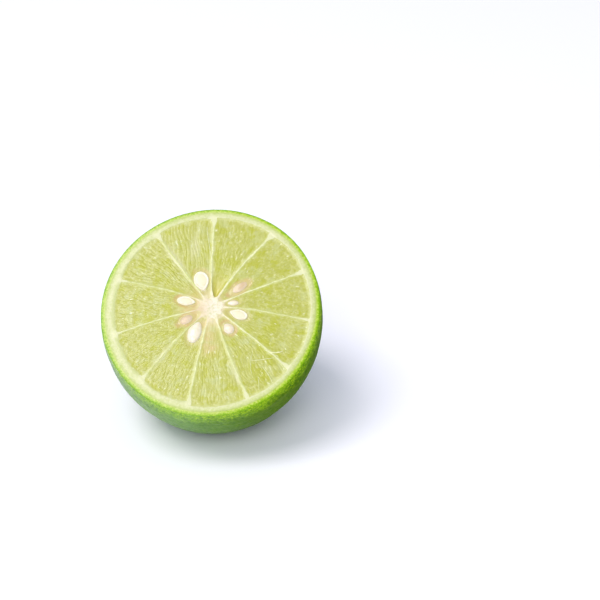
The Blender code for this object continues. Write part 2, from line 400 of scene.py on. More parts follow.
rind_finish = Finish("waxy_green_rind")
mottle = rind_finish.grain(0.008, 4.0, 0.6)
skin = rind_finish.ramp(mottle, (0.32, (0.070, 0.200, 0.005)), (0.50, (0.096, 0.255, 0.007)),
                        (0.70, (0.140, 0.325, 0.012)))
# Pale grey-green streaks on the front below the cut: partly waxy bloom, partly a painted sheen reflecting the
# bright table.
ring_streak = rind_finish.grain(0.0005, 2.0, 0.5, rind_finish.stretched("down", "side", 18.0))
bloom_and_sheen_streak = rind_finish.math("MULTIPLY", rind_finish.kept("bloom_and_sheen"),
                                 rind_finish.remap(ring_streak, 0.50, 0.62, 0.0, 0.48))
skin = rind_finish.blend(bloom_and_sheen_streak, skin, (0.260, 0.420, 0.150))
# Painted shade: the skin is blended to a deeper, darker green toward the right side, where less light falls.
painted_shade_right = rind_finish.kept("wax_and_painted_shade", 0.0, 0.8, 0.75, 0.0)
skin = rind_finish.blend(painted_shade_right, skin, (0.082, 0.135, 0.001))
rim_band = rind_finish.math("ADD", rind_finish.kept("near_rim"),
                            rind_finish.remap(rind_finish.grain(0.0018, 3.0, 0.6), 0.3, 0.7, -0.32, 0.32))
skin = rind_finish.blend(rind_finish.remap(rim_band, 0.15, 1.0, 0.0, 0.80), skin, (0.215, 0.440, 0.006))
# Painted highlights: bright yellow-green specks on the band below the rim, standing in for light glinting on
# the skin between the glands.
painted_highlight_specks = rind_finish.remap(rind_finish.grain(0.00036, 2.0, 0.6), 0.49, 0.62, 0.0, 0.95)
skin = rind_finish.blend(rind_finish.math("MULTIPLY", painted_highlight_specks, rim_band), skin, (0.43, 0.62, 0.018))
speck = rind_finish.kept("gland", 0.20, 0.95, 0.0, 0.70)
skin = rind_finish.blend(speck, skin, (0.035, 0.140, 0.001))
yellowed = rind_finish.kept("near_stem", 0.2, 0.95, 0.0, 0.8)
skin = rind_finish.blend(yellowed, skin, (0.46, 0.46, 0.04))
cut_grain = rind_finish.grain(0.0006, 3.0, 0.6)
cut_line = rind_finish.math("ADD", rind_finish.kept("cut_depth"),
                            rind_finish.remap(cut_grain, 0.2, 0.8, -0.14, 0.14))
edge_grain = rind_finish.remap(rind_finish.grain(0.00042, 2.0, 0.6), 0.3, 0.7, -0.26, 0.26)
cut_line = rind_finish.math("ADD", cut_line, edge_grain)
cut_ring = rind_finish.ramp(cut_line, (0.04, (0.19, 0.37, 0.008)), (0.26, (0.32, 0.48, 0.030)),
                            (0.55, (0.48, 0.58, 0.115)), (0.95, (0.58, 0.64, 0.22)))
cut_gland = rind_finish.kept("gland", 0.35, 0.9, 0.0, 0.7)
cut_ring = rind_finish.blend(cut_gland, cut_ring, (0.16, 0.33, 0.006))
rind_finish.colour(rind_finish.blend(rind_finish.kept("on_cut"), skin, cut_ring))
rind_finish.rough(rind_finish.remap(rind_finish.grain(0.002, 3.0), 0.3, 0.7, 0.34, 0.50))
rind_finish.bump(rind_finish.grain(0.00050, 3.0, 0.6), 0.60, 0.00018)
rind_finish.feed(rind_finish.kept("wax_and_painted_shade", 0.0, 1.0, 0.04, 0.52), "Specular IOR Level")
rind_finish.feed(rind_finish.kept("wax_and_painted_shade", 0.0, 1.0, 0.02, 0.22), "Coat Weight")
rind_finish.feed(rind_finish.kept("wax_and_painted_shade", 0.0, 0.4, 1.10, 1.42), "IOR")
rind_finish.set(Subsurface_Weight=0.06, Subsurface_Radius=(0.6, 1.0, 0.2), Subsurface_Scale=0.0008,
                Coat_Roughness=0.28)
rind.data.materials.append(rind_finish.material)
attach(rind, "root")
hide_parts("lime_half")

# The pith
# The white lining inside the rind, with the 11 membranes that grew in from it to the core, all one tissue.
# It is soft and matt, and the knife left it level, with a pocket open between each two membranes.
CORE_OFFSET = (0.0004, 0.0006)
# Each membrane is its bearing in degrees at the pith and at the core.
MEMBRANES = ((22.4, 27.0), (52.0, 64.0), (88.1, 93.0), (122.9, 126.0), (159.7, 145.6), (194.2, 187.0),
             (227.4, 219.0), (258.1, 252.5), (291.2, 287.5), (320.0, 324.0), (351.6, 360.3))
MEMBRANE_BEND = 1.6
MEMBRANE_WIDTHS = (0.23, 0.30, 0.27, 0.21, 0.20, 0.23, 0.19, 0.25, 0.25, 0.27, 0.19)
MEMBRANE_VEILS = (0.15, 0.08, 0.25, 0.92, 0.60, 0.30, 0.85, 0.35, 0.60, 0.15, 0.50)
CORE_SHARES = (0.098, 0.118, 0.105, 0.13, 0.135, 0.125, 0.115, 0.12, 0.11, 0.105, 0.115)
MEMBRANE_FLARES = (0.45, 0.60, 0.50, 0.45, 0.25, 0.40, 0.50, 0.40, 0.28, 0.36, 0.20)
FLARE_REACH = 0.034
JUNCTION_REACH = 0.0005
CORE_BOW, CORE_SPREAD = 0.16, 0.00010
PULP_SHARE = 0.890
PULP_EDGES = (0.912, 0.912, 0.911, 0.896, 0.880, 0.881, 0.898, 0.919, 0.920, 0.918, 0.913)
PITH_SHARE = 0.964
# Each spot is x, y and spread in millimetres, and strength.
BLUSH_SPOTS = ((-2.6, 0.1, 2.0, 1.00), (-1.6, -2.0, 1.4, 0.75), (-0.9, 2.2, 1.2, 0.45))
CORNER_SHARE = 0.012
POCKET_DEPTH, POCKET_WELD = 0.0030, 0.000002
PITH_STEPS = 20
PITH_RINGS, CORE_RINGS, RIM_RINGS = 96, 10, 8
CORE_CROWN, WALL_LIP, PITH_SWELL, PITH_ROUND = 0.00004, -0.00002, 0.00003, 0.00004
MILLIMETRE = 0.001

segment_count = len(MEMBRANES)


def membrane_bearing(number, share):
    """A membrane's bearing at a share of the way out. It bends near the core and wavers a little."""
    turns = 360.0 * (number // segment_count)
    number = number % segment_count
    outer, inner = MEMBRANES[number]
    sway = 0.5 * np.sin(9.0 * share + 2.4 * number) + 0.3 * np.sin(23.0 * share + 1.7 * number)
    kink = 0.12 * np.sin(43.0 * share + 2.9 * number) + 0.07 * np.sin(83.0 * share + 1.1 * number)
    bend = (inner - outer) * (1.0 - share) ** MEMBRANE_BEND
    return np.radians(outer + turns + bend + sway * (1.0 - share) + kink * smooth_step(4.0 * share))


def membrane_half_width(number, share):
    """Half a membrane's thickness: it swells a little here and there, and spreads where it meets the core."""
    number = number % segment_count
    base = 0.5 * MEMBRANE_WIDTHS[number] * MILLIMETRE
    uneven = 1.0 + 0.24 * np.sin(17.0 * share + 3.1 * number) + 0.18 * np.sin(41.0 * share + 1.3 * number)
    uneven += 0.14 * np.sin(73.0 * share + 2.2 * number)
    flare = MEMBRANE_FLARES[number] * MILLIMETRE * np.exp(-np.maximum(PULP_SHARE - share, 0.0) / FLARE_REACH)
    return base * uneven + flare + CORE_SPREAD * np.exp(-((share - 0.11) / 0.05) ** 2)


def spot_on_cut(bearing, place):
    """X and Y of a spot on the cut, where place runs from the core at 0 to the rim at 1."""
    reach = rim_radius * oval_scale(bearing) * place
    x = CORE_OFFSET[0] * (1.0 - place) + reach * np.cos(bearing)
    y = CORE_OFFSET[1] * (1.0 - place) + reach * np.sin(bearing)
    return x, y


def spot_strength(x, y, spots):
    """How strongly the soft round spots that a list names show at each place on the cut."""
    strongest = np.zeros(len(x))
    for spot_x, spot_y, spread, strength in spots:
        from_spot = np.hypot(x - spot_x * MILLIMETRE, y - spot_y * MILLIMETRE) / (spread * MILLIMETRE)
        strongest = np.maximum(strongest, strength * np.exp(-from_spot ** 2))
    return strongest


def pocket_bearings(number, share, across, underlap=0.0):
    """The bearings of the membranes on both sides of a pocket, and of each place across the pocket."""
    start = membrane_bearing(number, share)
    end = membrane_bearing(number + 1, share)
    reach = np.maximum(share * rim_radius, 1e-6)
    first = np.minimum((membrane_half_width(number, share) - underlap) / reach, 0.3 * (end - start))
    last = np.minimum((membrane_half_width(number + 1, share) - underlap) / reach, 0.3 * (end - start))
    return start, end, start + first + (end - start - first - last) * across


def uneven_core_edge(number, across):
    """Where the core ends and the pulp of a segment begins, as a share of the way to the rim."""
    return np.array(CORE_SHARES)[number] * (1.0 - CORE_BOW * (1.0 - (2.0 * across - 1.0) ** 2))


def uneven_pulp_edge(number, across):
    """Where the pulp of a segment ends and the pith begins, as a share of the way to the rim."""
    broad = np.array(PULP_EDGES)[number] + 0.004 * np.sin(5.0 * across + 2.0 * number)
    return broad + 0.0020 * np.sin(31.0 * across + 1.9 * number) + 0.0016 * np.sin(57.0 * across + number)


def rounded_place(share, across):
    """A ring's share, drawn in at the corners of a segment, where the pith runs down into the membranes."""
    nearness = np.where(share <= PULP_SHARE, (share / PULP_SHARE) ** 6,
                        smooth_step((PITH_SHARE - share) / (PITH_SHARE - PULP_SHARE)))
    return share * (1.0 - CORNER_SHARE * np.minimum(np.abs(2.0 * across - 1.0), 1.0) ** 4 * nearness)


def select_open_edge():
    """Selects the open edge all round a piece in edit mode."""
    bpy.ops.mesh.select_mode(type="EDGE")
    bpy.ops.mesh.select_all(action="DESELECT")
    bpy.ops.mesh.select_non_manifold(extend=False, use_boundary=True, use_wire=False, use_multi_face=False,
                                     use_non_contiguous=False, use_verts=False)


def flat_sheet(columns, rows):
    """A plain grid one metre square to be shaped, and each point's column and row as shares from 0 to 1."""
    bpy.ops.mesh.primitive_grid_add(x_subdivisions=columns, y_subdivisions=rows, size=1.0)
    sheet = bpy.context.active_object
    points = read_points(sheet)
    return sheet, np.clip(points[:, 0] + 0.5, 0.0, 1.0), np.clip(points[:, 1] + 0.5, 0.0, 1.0)


# Each segment takes a fixed set of grid lines: the membrane's middle, its edge, the pocket, the far edge.
pith_columns = segment_count * (PITH_STEPS + 2)
pith, turn_share, out_share = flat_sheet(pith_columns, PITH_RINGS)
line = np.rint(turn_share * pith_columns).astype(int)
number, step = np.divmod(line, PITH_STEPS + 2)
ring = np.rint(out_share * PITH_RINGS).astype(int)
across = np.clip((step - 1) / PITH_STEPS, 0.0, 1.0)
core_here = uneven_core_edge(number % segment_count, across)
along = (ring - CORE_RINGS) / (PITH_RINGS - CORE_RINGS - RIM_RINGS)
pulp_edge = uneven_pulp_edge(number % segment_count, across)
share = np.where(ring <= CORE_RINGS, core_here * ring / CORE_RINGS,
                 core_here + (pulp_edge - core_here) * along)
beyond = (ring - (PITH_RINGS - RIM_RINGS)) / RIM_RINGS
share = np.where(beyond > 0.0, pulp_edge + (PITH_SHARE - pulp_edge) * beyond, share)

bearing = np.zeros(len(line))
for membrane in range(segment_count + 1):
    here = number == membrane
    start, end, spread = pocket_bearings(membrane, share[here], across[here])
    bearing[here] = np.where(step[here] == 0, start, spread)
place = rounded_place(share, np.where(step == 0, 0.0, across))
x, y = spot_on_cut(bearing, place)
on_edge = (step == 1) | (step == PITH_STEPS + 1)
crown = np.where(ring < CORE_RINGS, CORE_CROWN, 0.0)
lip = np.where(on_edge & (ring > CORE_RINGS) & (beyond < 0.0), WALL_LIP, 0.0)
pith_points = np.stack([x, y, crown + lip], axis=1)
calm = 1.0 - smooth_step(beyond)
pith_points[:, 2] += calm * PITH_SWELL * (swell(pith_points, 0.0012, 5) + swell(pith_points, 0.005, 6))
pith_points[:, 2] += PITH_ROUND * (0.6 - beyond * beyond) * (beyond > 0.0)
write_points(pith, pith_points)
paint(pith, "share", place)
wall_number = np.where(step == PITH_STEPS + 1, number + 1, number) % segment_count
on_membrane = (step <= 1) | (step == PITH_STEPS + 1)
away_from_ends = smooth_step(7.0 * (share - 0.16)) * smooth_step(12.0 * (PULP_SHARE - 0.02 - share))
paint(pith, "veil", np.array(MEMBRANE_VEILS)[wall_number] * on_membrane * away_from_ends)
from_membrane = np.minimum(across, 1.0 - across) * 2.0 * math.pi / segment_count * share * rim_radius
near_pith = smooth_step((share - 0.76) / 0.12) * (1.0 - smooth_step((share - 0.915) / 0.03))
paint(pith, "junction", near_pith * np.exp(-(from_membrane / JUNCTION_REACH) ** 2))
paint(pith, "blush", spot_strength(x, y, BLUSH_SPOTS))

# The pockets are pressed down between the membranes, and the lining is then drawn down inside the rind.
corners = np.array([face.vertices[:] for face in pith.data.polygons])
corner_line = line[corners].min(axis=1) % (PITH_STEPS + 2)
corner_ring = ring[corners].min(axis=1)
in_pocket = (corner_line >= 1) & (corner_line <= PITH_STEPS)
in_pocket &= (corner_ring >= CORE_RINGS) & (corner_ring < PITH_RINGS - RIM_RINGS)
bpy.ops.object.mode_set(mode="EDIT")
bpy.ops.mesh.select_all(action="DESELECT")
bpy.ops.mesh.select_mode(type="FACE")
bpy.ops.object.mode_set(mode="OBJECT")
pith.data.polygons.foreach_set("select", in_pocket)
bpy.ops.object.mode_set(mode="EDIT")
bpy.ops.mesh.extrude_region_move(TRANSFORM_OT_translate={"value": (0.0, 0.0, -POCKET_DEPTH)})
bpy.ops.mesh.select_all(action="SELECT")
bpy.ops.mesh.remove_doubles(threshold=POCKET_WELD)
select_open_edge()
edge = (PITH_SHARE * rim_radius, 0.0)
edge = draw_edge_to(edge, 1.004 * edge[0], -WAIST_DEPTH)
for swing in np.linspace(0.1, 0.47, 8) * math.pi:
    lining = WAIST_RADIUS - RIND_THICKNESS
    edge = draw_edge_to(edge, lining * math.cos(swing), -WAIST_DEPTH - lining * math.sin(swing))
close_pole()
lay_in_place(pith, "pith", 60.0)

pith_finish = Finish("soft_white_pith")
out = pith_finish.kept("share")
spongy = pith_finish.grain(0.0008, 4.0, 0.65)
wavering = pith_finish.math("ADD", out, pith_finish.remap(spongy, 0.2, 0.8, -0.018, 0.018))
lining_colour = pith_finish.ramp(wavering, (0.05, (0.80, 0.695, 0.57)), (0.13, (0.77, 0.69, 0.47)),
                                 (0.22, (0.73, 0.715, 0.41)), (0.70, (0.71, 0.71, 0.40)),
                                 (0.890, (0.50, 0.525, 0.21)), (0.916, (0.610, 0.610, 0.330)),
                                 (0.940, (0.585, 0.600, 0.290)), (0.962, (0.42, 0.490, 0.12)))
patchy = pith_finish.remap(pith_finish.grain(0.0006, 3.0, 0.65), 0.44, 0.66, 0.0, 0.60)
lining_colour = pith_finish.blend(patchy, lining_colour, (0.455, 0.50, 0.16))
junction = pith_finish.kept("junction", 0.0, 1.0, 0.0, 0.60)
lining_colour = pith_finish.blend(junction, lining_colour, (0.71, 0.69, 0.44))
uneven_blush = pith_finish.remap(spongy, 0.3, 0.7, 0.6, 1.2)
blushed = pith_finish.math("MULTIPLY", pith_finish.kept("blush"), uneven_blush)
lining_colour = pith_finish.blend(blushed, lining_colour, (0.610, 0.465, 0.265))
veil = pith_finish.math("MULTIPLY", pith_finish.kept("veil"), pith_finish.remap(spongy, 0.35, 0.65, 0.4, 1.6))
lining_colour = pith_finish.blend(veil, lining_colour, (0.50, 0.53, 0.16))
pith_finish.colour(lining_colour)
pith_finish.rough(pith_finish.remap(spongy, 0.3, 0.7, 0.42, 0.62))
pith_finish.bump(spongy, 0.4, 0.00012)
pith_finish.set(Subsurface_Weight=0.20, Subsurface_Radius=(1.0, 1.0, 0.55), Subsurface_Scale=0.0002,
                Coat_Weight=0.2, Coat_Roughness=0.25)
pith.data.materials.append(pith_finish.material)
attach(pith, "root")
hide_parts("lime_half")

# The seeds
# Plump lime seeds, 2.5 to 5.3 mm long, each pointed at the end that grew from the core and held half sunk in
# its segment. The knife sliced the tops off some, which shows the pale seed leaf inside a white coat.
# Bearings and tips are in degrees, lengths in millimetres, and the rest in shares.
SEED_FACTS = ("name", "bearing", "out", "tip", "long", "wide", "rise", "sliced", "tan", "taper", "stain")
SEEDS = [dict(zip(SEED_FACTS, facts)) for facts in (
    ("seed_a", 111.0, 6.65, 283.0, 4.70, 3.30, -0.15, 0.34, 0.02, 0.30, 0.30),
    ("seed_b", 37.0, 7.20, 215.0, 4.70, 2.15, -0.40, None, 0.75, 0.35, 0.55),
    ("seed_c", 11.0, 4.50, 181.0, 2.50, 1.30, -0.21, None, 0.20, 0.30, 0.15),
    ("seed_d", 342.0, 5.95, 158.0, 4.10, 2.30, -0.15, 0.34, 0.02, 0.38, 0.15),
    ("seed_e", 305.0, 6.10, 130.0, 3.00, 2.35, -0.36, None, 0.25, 0.30, 0.80),
    ("seed_f", 237.0, 6.80, 70.0, 5.25, 3.00, -0.32, None, 0.00, 0.24, 0.15),
    ("seed_g", 206.0, 6.00, 32.0, 4.00, 2.15, -0.42, None, 0.82, 0.35, 1.00),
    ("seed_h", 164.0, 5.90, 350.0, 4.00, 2.10, -0.15, 0.30, 0.10, 0.30, 0.90))]
SEED_THICKNESS = 0.58
SEED_COAT, SLICE_WELD = 0.00022, 0.00005
SEED_COLUMNS, SEED_ROWS = 48, 36
SLICE_STEPS = ((0.95, -0.08), (0.86, -0.08), (0.80, 0.18), (0.74, 0.10), (0.58, 0.03), (0.40, 0.0),
               (0.20, 0.0))

seed_finish = Finish("moist_seed_coat")
seed_streak = seed_finish.grain(0.0007, 3.0, 0.6)
coat_colour = seed_finish.ramp(seed_streak, (0.30, (0.74, 0.65, 0.45)), (0.62, (0.82, 0.745, 0.60)))
coat_colour = seed_finish.blend(seed_finish.kept("tan"), coat_colour, (0.61, 0.45, 0.270))
seed_leaf = seed_finish.kept("inside", 0.0, 1.0, 0.0, 0.75)
coat_colour = seed_finish.blend(seed_leaf, coat_colour, (0.70, 0.65, 0.42))
seed_finish.colour(coat_colour)
seed_finish.rough(seed_finish.remap(seed_streak, 0.3, 0.7, 0.30, 0.45))
seed_finish.bump(seed_streak, 0.25, 0.00006)
seed_finish.set(Subsurface_Weight=0.35, Subsurface_Radius=(1.0, 0.9, 0.6), Subsurface_Scale=0.0004,
                Coat_Weight=0.35, Coat_Roughness=0.18)


def seed_middle(seed):
    """Where the middle of a seed lies on the cut, in metres."""
    turn = math.radians(seed["bearing"])
    out = seed["out"] * MILLIMETRE
    return CORE_OFFSET[0] + out * math.cos(turn), CORE_OFFSET[1] + out * math.sin(turn)


def model_seed(seed):
    """A ball drawn out to the seed's length, tapered to a tip, ribbed, and sliced where the knife met it."""
    bpy.ops.mesh.primitive_uv_sphere_add(segments=SEED_COLUMNS, ring_count=SEED_ROWS, radius=1.0,
                                         rotation=(0.0, math.pi / 2, 0.0))
    kernel = bpy.context.active_object
    bpy.ops.object.transform_apply(location=True, rotation=True, scale=True)
    ball = read_points(kernel)
    girth = 1.0 - seed["taper"] * smooth_step(ball[:, 0]) + 0.05 * smooth_step(-ball[:, 0])
    around = np.arctan2(ball[:, 2], ball[:, 1])
    ribs = 1.0 - 0.022 * (1.0 - ball[:, 0] ** 2) * np.cos(9.0 * around + seed["out"])
    half_long = 0.5 * seed["long"] * MILLIMETRE
    half_wide = 0.5 * seed["wide"] * MILLIMETRE
    shaped = np.stack([ball[:, 0] * half_long, ball[:, 1] * girth * ribs * half_wide,
                       ball[:, 2] * girth * ribs * half_wide * SEED_THICKNESS], axis=1)
    write_points(kernel, shaped)
    rise = seed["rise"] * MILLIMETRE
    is_sliced = seed["sliced"] is not None
    if is_sliced:
        level = seed["sliced"] * half_wide * SEED_THICKNESS
        bpy.ops.object.mode_set(mode="EDIT")
        bpy.ops.mesh.select_mode(type="VERT")
        bpy.ops.mesh.select_all(action="SELECT")
        bpy.ops.mesh.bisect(plane_co=(0.0, 0.0, level), plane_no=(0.0, 0.0, 1.0), clear_outer=True,
                            threshold=0.000001)
        bpy.ops.mesh.remove_doubles(threshold=SLICE_WELD)
        edge = (1.0, level)
        for inset, drop in SLICE_STEPS:
            edge = draw_edge_to(edge, inset, level - drop * SEED_COAT)
        close_pole()
    points = read_points(kernel)
    inside = np.zeros(len(points))
    if is_sliced:
        edge_share = np.hypot(points[:, 0] / half_long, points[:, 1] / half_wide)
        inside = 1.0 - smooth_step((edge_share - 0.62) / 0.12)
        inside = np.where(points[:, 2] > level - SEED_COAT, inside, 0.0)
    tip = math.radians(seed["tip"])
    middle_x, middle_y = seed_middle(seed)
    turned_x = points[:, 0] * math.cos(tip) - points[:, 1] * math.sin(tip) + middle_x
    turned_y = points[:, 0] * math.sin(tip) + points[:, 1] * math.cos(tip) + middle_y
    write_points(kernel, np.stack([turned_x, turned_y, points[:, 2] + rise], axis=1))
    stain = seed["tan"] * (0.6 + 0.8 * swell(points, 0.0020, 9))
    paint(kernel, "tan", np.clip(stain, 0.0, 1.0))
    paint(kernel, "inside", inside)
    lay_in_place(kernel, seed["name"], 80.0)
    kernel.data.materials.append(seed_finish.material)
    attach(kernel, "root")
    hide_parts("lime_half")


for seed in SEEDS:
    model_seed(seed)

# The pulp
# Eleven segments packed with juice sacs, long thin bags that taper from the pith in to the core. The knife
# opened them, so the cut is wet, nearly level with the membranes, and shows each sac's wall.
PULP_COLUMNS, PULP_ROWS = 96, 132
PULP_LIP = 0.000005
PULP_SINK = 0.00005
PULP_LIP_REACH = 0.00030
INNER_REACH = 0.0010
PULP_UNDERLAP = 0.00006
PULP_THICKNESS = 0.0024
SAC_WIDTH = 0.00078
SAC_DRAWS = (97, 89)
SAC_FAN = 0.0185
SAC_DRIFT, SAC_JITTER = 0.0007, 0.00012
STRAIGHT_SEGMENT = 2
SAC_LENGTHS = (2.2, 3.0, 5.6, 3.4, 2.6, 2.2, 2.1, 3.0, 2.6, 2.2, 2.0)
SAC_RELIEF, TONE_RELIEF = 0.000025, 0.00002
SAC_CLARITY = (0.40, 0.60, 1.00, 0.15, 0.20, 0.45, 0.75, 0.85, 0.80, 0.60, 0.30)
SAC_PARALLEL = (0.2, 0.5, 0.8, 0.2, 0.2, 0.2, 0.3, 0.5, 0.5, 0.3, 0.2)
HOLLOW_SEGMENT = 1
HOLLOW_SHARE, HOLLOW_SPREAD, HOLLOW_DEPTH = 0.15, 0.13, 0.0008
SEED_MOAT = 0.00005
HEART_REACHES = (0.7, 0.7, 1.6, 0.6, 0.5, 0.5, 0.7, 1.9, 1.0, 0.7, 0.7)
PITH_SOFTNESS = 0.75
TISSUE_SPOTS = ((-3.7, -0.4, 2.6, 0.95), (-1.5, -3.8, 2.2, 0.68), (-0.4, -6.3, 1.6, 0.80),
                (-0.2, -8.8, 1.9, 0.75), (2.8, -3.0, 2.2, 0.50), (-3.2, 3.0, 2.2, 0.55),
                (4.6, 1.5, 2.4, 0.30), (0.4, 0.6, 4.6, 0.50))
# Each haze is its segment, 0 or 1 for beside the first or the last wall, how far off it and how wide in
# millimetres, how far out and how long in shares, and strength.
WALL_HAZES = ((1, 1, 0.1, 0.50, 0.60, 0.06, 0.60), (1, 1, 0.1, 0.50, 0.38, 0.08, 0.65),
              (2, 1, 0.1, 0.75, 0.60, 0.16, 0.75), (3, 0, 0.1, 0.60, 0.60, 0.16, 0.65),
              (2, 0, 3.9, 1.10, 0.64, 0.13, 0.45), (5, 1, 0.1, 0.60, 0.62, 0.14, 0.45),
              (6, 0, 0.1, 0.50, 0.62, 0.14, 0.45), (7, 1, 0.3, 0.60, 0.68, 0.12, 0.55),
              (8, 0, 0.1, 0.40, 0.60, 0.10, 0.35))


def sac_pattern(sideways, outward, draw_number):
    """How near each spot is to a juice sac's side wall, from 0 to 1, how plump it is, and the sac's tone."""
    draw = np.random.default_rng(draw_number)
    shift = draw.random((*SAC_DRAWS, 3))
    cell_x, cell_y = np.floor(sideways).astype(int), np.floor(outward).astype(int)
    near = np.full((3, len(sideways)), 9.0)
    second = np.full((3, len(sideways)), 9.0)
    tone = np.zeros(len(sideways))
    for step_x in (-1, 0, 1):
        for step_y in (-1, 0, 1):
            drawn = shift[(cell_x + step_x) % SAC_DRAWS[0], (cell_y + step_y) % SAC_DRAWS[1]]
            away_x = cell_x + step_x + 0.15 + 0.7 * drawn[:, 0] - sideways
            away_y = cell_y + step_y + drawn[:, 1] - outward
            here = np.stack([np.hypot(away_x, away_y), away_x, away_y])
            closer = here[0] < near[0]
            second = np.where(closer, near, np.where(here[0] < second[0], here, second))
            tone = np.where(closer, drawn[:, 2], tone)
            near = np.where(closer, here, near)
    gap = second - near
    side_on = np.abs(gap[1]) / np.maximum(np.hypot(gap[1], gap[2]), 1e-6)
    closeness = 1.0 - np.clip(gap[0] / 0.55, 0.0, 1.0)
    return closeness * (0.15 + 0.85 * side_on ** 3), np.sqrt(1.0 - closeness), tone


pulp_finish = Finish("wet_juice_sacs")
along_sacs = pulp_finish.stretched("aside", "out", 5.0)
strand = pulp_finish.grain(0.34, 3.0, 0.6, along_sacs)
crumb = pulp_finish.grain(0.00070, 2.5, 0.55)
strand_share = pulp_finish.math("MULTIPLY", pulp_finish.kept("clear"),
                                pulp_finish.remap(pulp_finish.grain(0.0038, 2.0), 0.38, 0.54))
streak = pulp_finish.blend(strand_share, crumb, strand)
juice = pulp_finish.ramp(streak, (0.34, (0.385, 0.387, 0.056)), (0.50, (0.445, 0.448, 0.098)),
                         (0.66, (0.540, 0.538, 0.195)))
olive = pulp_finish.remap(pulp_finish.grain(0.0026, 2.0, 0.5), 0.52, 0.63, 0.0, 0.74)
juice = pulp_finish.blend(olive, juice, (0.405, 0.416, 0.020))
pale = pulp_finish.remap(pulp_finish.grain(0.0024, 3.0, 0.6), 0.34, 0.48, 0.50, 0.0)
juice = pulp_finish.blend(pale, juice, (0.51, 0.540, 0.255))
toned = pulp_finish.kept("tone", 0.0, 1.0, 0.0, 0.30)
juice = pulp_finish.blend(toned, juice, (0.38, 0.392, 0.045))
broken = pulp_finish.remap(pulp_finish.grain(0.0010, 2.0, 0.6), 0.40, 0.60, 0.10, 1.0)
wall = pulp_finish.kept("wall", 0.40, 0.90, 0.0, 0.44)
juice = pulp_finish.blend(pulp_finish.math("MULTIPLY", wall, broken), juice, (0.62, 0.63, 0.31))
edge_haze = pulp_finish.math("MULTIPLY", pulp_finish.kept("edge"),
                             pulp_finish.remap(broken, 0.0, 1.0, 0.32, 0.80))
juice = pulp_finish.blend(edge_haze, juice, (0.55, 0.57, 0.25))
wall_haze = pulp_finish.math("MULTIPLY", pulp_finish.kept("haze"),
                             pulp_finish.remap(broken, 0.0, 1.0, 0.60, 1.00))
juice = pulp_finish.blend(wall_haze, juice, (0.645, 0.62, 0.40))
for kept_name, colour in (("heart", (0.77, 0.68, 0.50)), ("tissue", (0.575, 0.455, 0.190)),
                          ("stain", (0.54, 0.38, 0.15)), ("hollow", (0.585, 0.52, 0.105))):
    juice = pulp_finish.blend(pulp_finish.kept(kept_name), juice, colour)
# Painted glints: short pale flecks on the cut, standing in for light caught by the wet juice sacs.
painted_glint = pulp_finish.grain(0.60, 1.5, 0.5, pulp_finish.stretched("aside", "out", 2.5))
juice = pulp_finish.blend(pulp_finish.remap(painted_glint, 0.655, 0.76, 0.0, 0.70), juice, (0.75, 0.77, 0.50))
pulp_finish.colour(juice)
pulp_finish.rough(pulp_finish.remap(pulp_finish.grain(0.0009, 2.0), 0.3, 0.7, 0.22, 0.42))
pulp_finish.bump(streak, 0.6, 0.00004)
pulp_finish.feed(pulp_finish.kept("inner", 0.0, 1.0, 0.0, 0.45), "Subsurface Weight")
pulp_finish.set(Subsurface_Radius=(1.0, 1.0, 0.35), Subsurface_Scale=0.0006, Specular_IOR_Level=0.35,
                Coat_Weight=0.3, Coat_Roughness=0.14, IOR=1.37)


